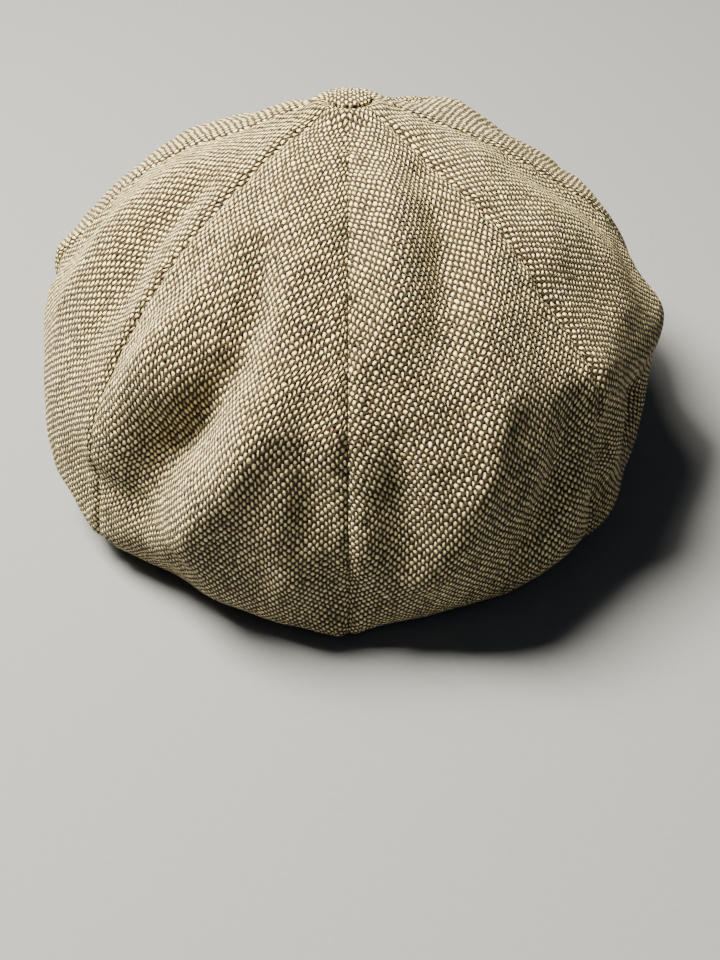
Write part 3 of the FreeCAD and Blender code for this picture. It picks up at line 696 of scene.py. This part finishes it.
GORES = [("back", 0.0), ("rear_side", 45.0), ("front_side", 90.0), ("front", 135.0)]
SIDES = [("left", 1.0), ("right", -1.0)]
GORE_GRID = (190, 76)
LINING_GRID = (110, 34)
draw = np.random.default_rng(11)


def gore_grid(start, side, size, edge, first=0.0):
    """Stages, 0-1 places across, and the grids of turn and stage for one gore."""
    rows, columns = size
    stages = stages_for(rows, side * (start + GORE_TURN / 2.0), first)
    places = spaced_columns(columns, edge)
    turn = np.repeat(side * (start + GORE_TURN * places[None, :]), rows, axis=0)
    stage = np.repeat(stages[:, None], columns, axis=1)
    return stages, places, turn, stage


def make_gore(name, start, side, index):
    """One tweed gore of the crown, with a place of its own in the weave."""
    stages, places, turn, stage = gore_grid(start, side, GORE_GRID, 0.55)
    base = base_point(turn, stage)
    radius = np.hypot(base[..., 0], base[..., 1])
    tuck = np.degrees(SEAM_HALF_GAP / radius) * (1.0 - 2.0 * places[None, :])
    outer = crown_point(turn + side * tuck, stage)
    inner = crown_point(turn, stage) - outward_normals(outer) * CLOTH
    uv, flat = gore_pattern(start, side, stages, places, 0.0, outer)
    bolt_place = (200.0 + 150.0 * index + draw.uniform(0, 5), 300.0 * (index % 3) + draw.uniform(0, 5))
    uv = uv + np.array(bolt_place)
    item = shell("gore_" + name, outer, inner, uv, tweed, ["crown_panel_" + name])
    flat[0] * MM
    flat[1] * MM
    flat[2] * MM * MM


def make_lining(name, start, side, index):
    """One lining gore, which follows the crown's folds just inside it."""
    stages, places, turn, stage = gore_grid(start, side, LINING_GRID, 0.4, first=0.02)
    base = base_point(turn, stage)
    radius = np.hypot(base[..., 0], base[..., 1])
    outer = crown_point(turn, stage, inset=LINING_INSET, seam=False)
    normal = outward_normals(outer)
    gap = radius * np.sin(np.radians(np.minimum(places, 1.0 - places)[None, :] * GORE_TURN))
    dip = -0.5 * np.exp(-(gap / 1.8) ** 2) + 0.35 * PUCKER(outer) * np.exp(-(gap / 8.0) ** 2)
    outer = outer + normal * (-np.abs(dip) * smooth((radius - 8.0) / 10.0))[..., None]
    # The hem is drawn in behind the sweatband's top edge.
    close = smooth((stage - 2.75) / 0.25)
    angle = np.radians(turn)
    outward = np.stack([np.sin(angle), np.cos(angle), np.zeros_like(angle)], -1)
    outer = outer - outward * (HEM_TUCK * close)[..., None]
    inner = outer - normal * LINING_CLOTH
    uv, flat = gore_pattern(start, side, stages, places, LINING_INSET)
    uv = uv + 90.0 * index
    item = shell("lining_" + name, outer, inner, uv, satin, ["lining_panel_" + name])
    flat[0] * MM
    flat[1] * MM
    flat[2] * MM * MM


places_round = [(gore + "_" + side_name, start, side) for gore, start in GORES for side_name, side in SIDES]
for number, (gore_name, gore_start, gore_side) in enumerate(places_round):
    make_gore(gore_name, gore_start, gore_side, number)
    make_lining(gore_name, gore_start, gore_side, number)


# ---------------------------------------- headband

# Ahead of the lift's start the bands' bottom edges curve up along an arc.
FRONT_LIFT_RADIUS = 252.0
FRONT_LIFT_START = -10.0
BAND_BOTTOM = 1.0
SWEATBAND_TOP = 33.0
SWEATBAND_WAVER = 0.25


def bottom_edge(y, bottom):
    """Height of a band's bottom edge, lifted at the front where the peak is sewn on."""
    ahead = np.clip(FRONT_LIFT_START - y, 0.0, None)
    return bottom + FRONT_LIFT_RADIUS - np.sqrt(FRONT_LIFT_RADIUS ** 2 - ahead ** 2)


def oval_line(axes, turn):
    """Places x and y on an oval at turns in degrees."""
    radius = oval(axes[0], axes[1], turn)
    return radius * np.sin(np.radians(turn)), radius * np.cos(np.radians(turn))


def wider(axes, margin):
    """Oval larger by a margin all round."""
    return (axes[0] + margin, axes[1] + margin)


def band_grid(axes, bottom, top, rows=14, columns=420, half_gap=0.12):
    """Upright strip once round, open at the centre back. Returns points and flat places."""
    turn = np.linspace(0.0, 360.0, columns)
    gap = np.degrees(half_gap / axes[1])
    turn = gap + turn * (1.0 - 2.0 * gap / 360.0)
    x, y = oval_line(axes, turn)
    low = bottom_edge(y, bottom)
    height = low[None, :] + (top - low)[None, :] * np.linspace(0.0, 1.0, rows)[:, None]
    along = np.concatenate([[0.0], np.cumsum(np.hypot(np.diff(x), np.diff(y)))])
    points = np.stack([np.broadcast_to(x, height.shape), np.broadcast_to(y, height.shape), height], -1)
    flat = np.stack([np.broadcast_to(along, height.shape), height], -1)
    return points, flat


def make_band(name, node, material, inside, thickness, bottom, top, waver=0.0):
    """Strip round the head opening; waver makes its inner face uneven."""
    outer, flat = band_grid(wider(OPENING, inside + thickness), bottom, top)
    inner, _ = band_grid(wider(OPENING, inside), bottom, top)
    if waver:
        away = outer[:, :, :2] / np.linalg.norm(outer[:, :, :2], axis=-1, keepdims=True)
        ripple = waver * (PUCKER(outer) * 0.6 + CRUMPLE(outer) * 0.4)[..., None]
        inner[:, :, :2] -= away * np.abs(ripple)
    item = shell(name, outer, inner, flat, material, [node])
    tall = outer[-1, :, 2] - outer[0, :, 2]
    area = np.sum(np.diff(flat[0, :, 0]) * (tall[1:] + tall[:-1]) / 2.0)


make_band("sweatband_strip", "sweatband", twill,
          inside=0.0, thickness=0.8, bottom=BAND_BOTTOM, top=SWEATBAND_TOP,
          waver=SWEATBAND_WAVER)
make_band("stiffening_strip", "headband_interlining", buckram,
          inside=0.9, thickness=0.9, bottom=BAND_BOTTOM, top=27.0)
make_band("outer_band_strip", "headband_outer", tweed,
          inside=1.9, thickness=1.2, bottom=0.0, top=30.0)


def stitch_row(name, points, outward, length, gap, radius, material):
    """Row of separate stitches along a line, each a short bowed thread with closed ends."""
    step = np.linalg.norm(np.diff(points, axis=0), axis=1)
    along = np.concatenate([[0.0], np.cumsum(step)])
    sides, rings = 6, 5
    angle = np.linspace(0.0, 2.0 * np.pi, sides, endpoint=False)
    vertices, quads = [], []
    for first in np.arange(gap, along[-1] - length, length + gap):
        at = first + np.linspace(0.0, length, rings)
        centre = np.stack([np.interp(at, along, points[:, k]) for k in range(3)], -1)
        out = np.stack([np.interp(at, along, outward[:, k]) for k in range(3)], -1)
        out /= np.linalg.norm(out, axis=1, keepdims=True)
        way = np.gradient(centre, axis=0)
        way /= np.linalg.norm(way, axis=1, keepdims=True)
        side = np.cross(way, out)
        t = np.linspace(0.0, 1.0, rings)
        centre = centre + out * (np.sin(np.pi * t) * 1.4 - 0.5)[:, None] * radius
        thick = radius * (0.35 + 0.65 * np.sin(np.pi * np.clip(t, 0.06, 0.94)) ** 0.5)
        base = len(vertices) * sides * rings
        spoke = side[:, None] * np.cos(angle)[None, :, None] + out[:, None] * np.sin(angle)[None, :, None]
        ring = centre[:, None] + thick[:, None, None] * spoke
        vertices.append(ring.reshape(-1, 3))
        for r in range(rings - 1):
            for s in range(sides):
                e = (s + 1) % sides
                quads.append([base + r * sides + s, base + r * sides + e,
                              base + (r + 1) * sides + e, base + (r + 1) * sides + s])
        # Two four-cornered faces close each end.
        for r, caps in ((0, ((3, 2, 1, 0), (0, 5, 4, 3))), (rings - 1, ((0, 1, 2, 3), (0, 3, 4, 5)))):
            quads += [[base + r * sides + k for k in cap] for cap in caps]
    vertices = np.concatenate(vertices)
    flat = np.stack([vertices[:, 0] + vertices[:, 1], vertices[:, 2]], -1)
    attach(mesh_object(name, vertices, quads, flat, material), "root")


SWEATBAND_STITCH = dict(length=2.6, gap=1.1, radius=0.27, material=thread_dark)
LABEL_STITCH = dict(length=1.9, gap=0.9, radius=0.2, material=thread_tan)


def sweatband_line(above, from_top):
    """Line round the sweatband's inner face, above its bottom edge or below its top edge."""
    turn = np.linspace(1.0, 359.0, 720)
    x, y = oval_line(wider(OPENING, -SWEATBAND_WAVER), turn)
    z = np.full(x.shape, SWEATBAND_TOP - above) if from_top else bottom_edge(y, BAND_BOTTOM) + above
    inward = -np.stack([x, y, np.zeros_like(x)], -1)
    return np.stack([x, y, z], -1), inward / np.linalg.norm(inward, axis=1, keepdims=True)


for row_name, above, from_top in (("sweatband_lower_stitches", 2.2, False),
                                  ("sweatband_upper_stitches", 2.0, True)):
    row_line, row_inward = sweatband_line(above, from_top)
    stitch_row(row_name, row_line, row_inward, **SWEATBAND_STITCH)

# Label lying on the sweatband at the centre back: its back, its face and its lines of stitches
# lie this far inside the head opening.
LABEL_BACK, LABEL_FACE, LABEL_THREAD = 0.45, 0.85, 0.95
LABEL_TURN = 11.9
LABEL_BOTTOM, LABEL_TOP = 6.0, 26.0
LABEL_MIDDLE = (LABEL_BOTTOM + LABEL_TOP) / 2.0
LABEL_HALF_WIDTH, LABEL_HALF_HEIGHT = 21.0, 10.0
LABEL_HEM = 0.18
LABEL_STITCHES_AT = 19.6


def label_grid(inset, rows=26, columns=60):
    """Label's face at a distance inside the sweatband's inner face."""
    x, y = oval_line(wider(OPENING, -inset), np.linspace(LABEL_TURN, -LABEL_TURN, columns))
    z = np.linspace(LABEL_BOTTOM, LABEL_TOP, rows)
    points = [np.broadcast_to(part, (rows, columns)) for part in (x, y, z[:, None])]
    return np.stack(points, -1)


def make_label():
    """Blank label with a thicker hem round its face."""
    face = label_grid(LABEL_FACE)
    across = np.abs(face[..., 0]) / LABEL_HALF_WIDTH
    up = np.abs(face[..., 2] - LABEL_MIDDLE) / LABEL_HALF_HEIGHT
    hem = LABEL_HEM * np.maximum(smooth((across - 0.88) / 0.04), smooth((up - 0.78) / 0.08))
    face[..., 1] -= hem * smooth(np.minimum(1.0 - across + 0.02, 1.0 - up + 0.06) / 0.06)
    flat = np.stack([face[..., 0], face[..., 2]], -1)
    item = shell("label_blank", face, label_grid(LABEL_BACK), flat, damask,
                 ["sweatband_label"])
    surface_area(face) * MM * MM


def make_label_stitches(name, x):
    """Upright row of stitches near one end of the label."""
    half_width, half_length = wider(OPENING, -LABEL_THREAD)
    z = np.linspace(LABEL_BOTTOM + 1.0, LABEL_TOP - 1.0, 40)
    y = np.full(z.shape, half_length * math.sqrt(1.0 - (x / half_width) ** 2))
    line = np.stack([np.full(z.shape, x), y, z], -1)
    stitch_row(name, line, np.tile([0.0, -1.0, 0.0], (len(z), 1)), **LABEL_STITCH)


make_label()
make_label_stitches("label_left_stitches", LABEL_STITCHES_AT)
make_label_stitches("label_right_stitches", -LABEL_STITCHES_AT)

# ---------------------------------------- peak

# The board is bent over a cylinder that slopes down to the front, and its outline is part of an oval.
# PEAK_ROOT is the y and z of a point of its lower face on the middle line.
PEAK_SLOPE = math.radians(8.0)
PEAK_BEND = 186.0
PEAK_HALF_WIDTH = 88.0
PEAK_HALF_LENGTH = 96.0
PEAK_CENTRE = -72.0
PEAK_ROOT = (-38.0, 29.6)
BOARD_MIDDLE = 1.95


def peak_place(x, y, lift):
    """Point above the plan place (x, y) at a height over the peak's lower face."""
    drop = np.sqrt((PEAK_BEND + lift) ** 2 - x ** 2) - PEAK_BEND
    run = (PEAK_ROOT[0] - drop * math.sin(PEAK_SLOPE) - y) / math.cos(PEAK_SLOPE)
    return np.stack([x, y, PEAK_ROOT[1] - run * math.sin(PEAK_SLOPE) + drop * math.cos(PEAK_SLOPE)], -1)


def peak_plan(across, inset):
    """Ends of the peak at places across it from -1 to 1: on the headband and on the outline."""
    wide, long = PEAK_HALF_WIDTH - inset, PEAK_HALF_LENGTH - inset
    root_wide, root_long = ROOT_AXES

    def outline(angle):
        return wide * np.sin(angle), PEAK_CENTRE - long * np.cos(angle)

    def outside(angle):
        x, y = outline(angle)
        return (x / root_wide) ** 2 + (y / root_long) ** 2 > 1.0

    # The corner is just short of where the outline runs into the headband.
    low, high = 1.0, math.pi
    for _ in range(50):
        middle = (low + high) / 2.0
        if outside(middle):
            low = middle
        else:
            high = middle
    corner = low - 0.004
    corner_x, corner_y = outline(corner)
    root = across * math.atan2(corner_x / root_wide, -corner_y / root_long)
    edge_line = np.stack(outline(across * corner), -1)
    root_line = np.stack([root_wide * np.sin(root), -root_long * np.cos(root)], -1)
    return root_line, edge_line


# Faces of a cover: distance inside the outline, rounding of the edge, and height from the board's middle.
COVER_OUTSIDE = (0.0, 1.95, 1.92)
COVER_INSIDE = (0.95, 1.0, 0.98)


def cover_grid(face, sign, across, down):
    """One face of a cover, and each place's distance from the outline; sign is 1 above the board."""
    inset, rounding, full = face
    root_line, edge_line = peak_plan(across, inset)
    reach = np.linalg.norm(edge_line - root_line, axis=1)
    plan = root_line[None] + (edge_line - root_line)[None] * down[:, None, None]
    from_edge = np.clip((1.0 - down)[:, None] * reach[None, :], 0.0, None)
    close = np.clip(1.0 - from_edge / rounding, 0.0, 1.0)
    curve = np.sqrt(np.clip(1.0 - close ** 2, 0.0, 1.0))
    lift = BOARD_MIDDLE + sign * (0.03 + full * curve)
    return peak_place(plan[..., 0], plan[..., 1], lift), from_edge


def make_cover(name, sign, node, offset):
    """Cloth over one face of the board, rolled towards the other cover at the outline."""
    t = np.linspace(-1.0, 1.0, 170)
    across = np.sin(t * np.pi / 2.0) * 0.35 + t * 0.65
    down = 1.0 - (1.0 - np.linspace(0.0, 1.0, 64)) ** 2.2
    outer, from_edge = cover_grid(COVER_OUTSIDE, sign, across, down)
    inner, _ = cover_grid(COVER_INSIDE, sign, across, down)
    swell = (0.22 * CRUMPLE(outer) + 0.25 * SLACK(outer)) * smooth((from_edge - 2.0) / 8.0)
    outer[..., 2] += sign * np.abs(swell)
    step = np.linalg.norm(np.diff(outer, axis=0), axis=-1)
    arc = np.concatenate([np.zeros((1, outer.shape[1])), np.cumsum(step, axis=0)])
    root = outer[:1, :, :2]
    away = outer[-1:, :, :2] - root
    away = away / np.maximum(np.linalg.norm(away, axis=-1, keepdims=True), 1e-9)
    flat = root + away * arc[..., None] + offset
    item = shell(name, outer, inner, flat, tweed, [node])
    surface_area(outer) * MM * MM


make_cover("peak_top_cloth", 1.0, "peak_top_cover", 2000.0)
make_cover("peak_under_cloth", -1.0, "peak_under_cover", 2400.0)

# ---------------------------------------- button


def button_grid(radius, height, rim, pleat, rings=28, rim_rings=8, around=120):
    """Domed disc, from its middle down over the rim to the open edge, and its flat places."""
    cap = height - rim
    ball = (radius ** 2 + cap ** 2) / (2.0 * cap)
    dome = np.linspace(0.02, math.asin(min(1.0, radius / ball)), rings)
    r = np.concatenate([ball * np.sin(dome), np.full(rim_rings, radius)])
    z = np.concatenate([height - ball + ball * np.cos(dome), np.linspace(rim * 0.9, 0.0, rim_rings)])
    angle = np.linspace(0.0, 2.0 * np.pi, around)
    gathers = np.cos(14.0 * angle + 0.6 * np.sin(3.0 * angle))
    low = smooth((height - z) / height - 0.25)
    reach = r[:, None] + pleat * gathers[None, :] * low[:, None]
    x, y = reach * np.sin(angle)[None, :], reach * np.cos(angle)[None, :]
    up = np.broadcast_to(z[:, None], x.shape)
    tilt_cos, tilt_sin = math.cos(BUTTON_TILT), math.sin(BUTTON_TILT)
    point = np.stack([x, y * tilt_cos - up * tilt_sin, BUTTON_BASE + up * tilt_cos + y * tilt_sin], -1)
    return point, r[:, None, None] * np.stack([np.sin(angle), np.cos(angle)], -1)[None]


def make_button():
    """Cloth drawn over the button's shell, gathered round its rim."""
    outer, flat = button_grid(radius=9.4, height=3.2, rim=1.5, pleat=0.12)
    inner, _ = button_grid(radius=8.65, height=2.36, rim=1.02, pleat=0.0)
    item = shell("button_cloth", outer, inner, flat + 3000.0, tweed, ["crown_button_cover"])
    surface_area(outer) * MM * MM


make_button()

# ---------------------------------------- pieces kept from the CAD model

def keep(node, material):
    """Give a CAD piece that stays as it is a better material."""
    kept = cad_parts[node]
    kept.data.materials.clear()
    kept.data.materials.append(material)


keep("crown_button_shell", steel)
keep("crown_button_prong", steel)
keep("peak_board", moulded)

# ---------------------------------------- floor, light, camera

FLOOR_HALF = 20.0
FLOOR_DROP = 0.0002


def make_floor():
    """Plain pale paper, just under the cap."""
    mesh = bpy.data.meshes.new("floor")
    corners = [(x * FLOOR_HALF, y * FLOOR_HALF, -FLOOR_DROP) for x, y in ((-1, -1), (1, -1), (1, 1), (-1, 1))]
    mesh.from_pydata(corners, [], [(0, 1, 2, 3)])
    material, tree, surface = new_material("floor_paper")
    grain = noise(solid_place(tree), 0.4, 3.0)
    colour = blend(grain, (0.165, 0.174, 0.201), (0.188, 0.197, 0.225))
    finish_surface(tree, surface, colour, grain, 0.02, 0.85, 0.2)
    mesh.materials.append(material)
    linked("floor", mesh)


def area_light(name, place, aim, size, power, colour):
    """Round lamp at a place, aimed at a point."""
    lamp = bpy.data.lights.new(name, "AREA")
    lamp.shape = "DISK"
    lamp.size = size
    lamp.energy = power
    lamp.color = colour
    item = linked(name, lamp)
    item.location = place
    item.rotation_euler = (Vector(aim) - Vector(place)).to_track_quat("-Z", "Y").to_euler()


def wide_light(name, way, angle, strength, colour):
    """Soft even light from far away, which also reaches the floor's far side."""
    lamp = bpy.data.lights.new(name, "SUN")
    lamp.energy = strength
    lamp.angle = math.radians(angle)
    lamp.color = colour
    item = linked(name, lamp)
    item.rotation_euler = Vector(way).to_track_quat("-Z", "Y").to_euler()


def make_room(colour, strength):
    """Faint even light from all round."""
    world = bpy.data.worlds.new("room")
    world.use_nodes = True
    background = world.node_tree.nodes["Background"]
    background.inputs["Color"].default_value = (*colour, 1.0)
    background.inputs["Strength"].default_value = strength
    bpy.context.scene.world = world


def make_camera(place, tilt, focal_length):
    """Camera behind the cap, looking forward and down."""
    lens = bpy.data.cameras.new("camera")
    lens.lens = focal_length
    lens.sensor_width = 36.0
    lens.dof.use_dof = False
    camera = linked("camera", lens)
    camera.location = place
    camera.rotation_euler = (math.radians(tilt), 0.0, math.pi)
    bpy.context.scene.camera = camera


WARM = (1.0, 0.925, 0.71)

make_floor()
area_light("key", place=(0.54, -0.09, 1.13), aim=(0.0, 0.03, 0.08), size=0.50, power=86.0,
           colour=WARM)
wide_light("wide", way=(-0.54, 0.30, -1.0), angle=30.0, strength=4.5, colour=WARM)
area_light("fill", place=(-0.7, 0.9, 1.3), aim=(0.0, 0.0, 0.08), size=1.2, power=0.7,
           colour=(0.80, 0.90, 1.0))
make_room(colour=(0.9, 0.93, 1.0), strength=0.05)
make_camera(place=(-0.0046, 0.533, 0.476), tilt=45.0, focal_length=53.3)

bpy.context.view_layer.update()
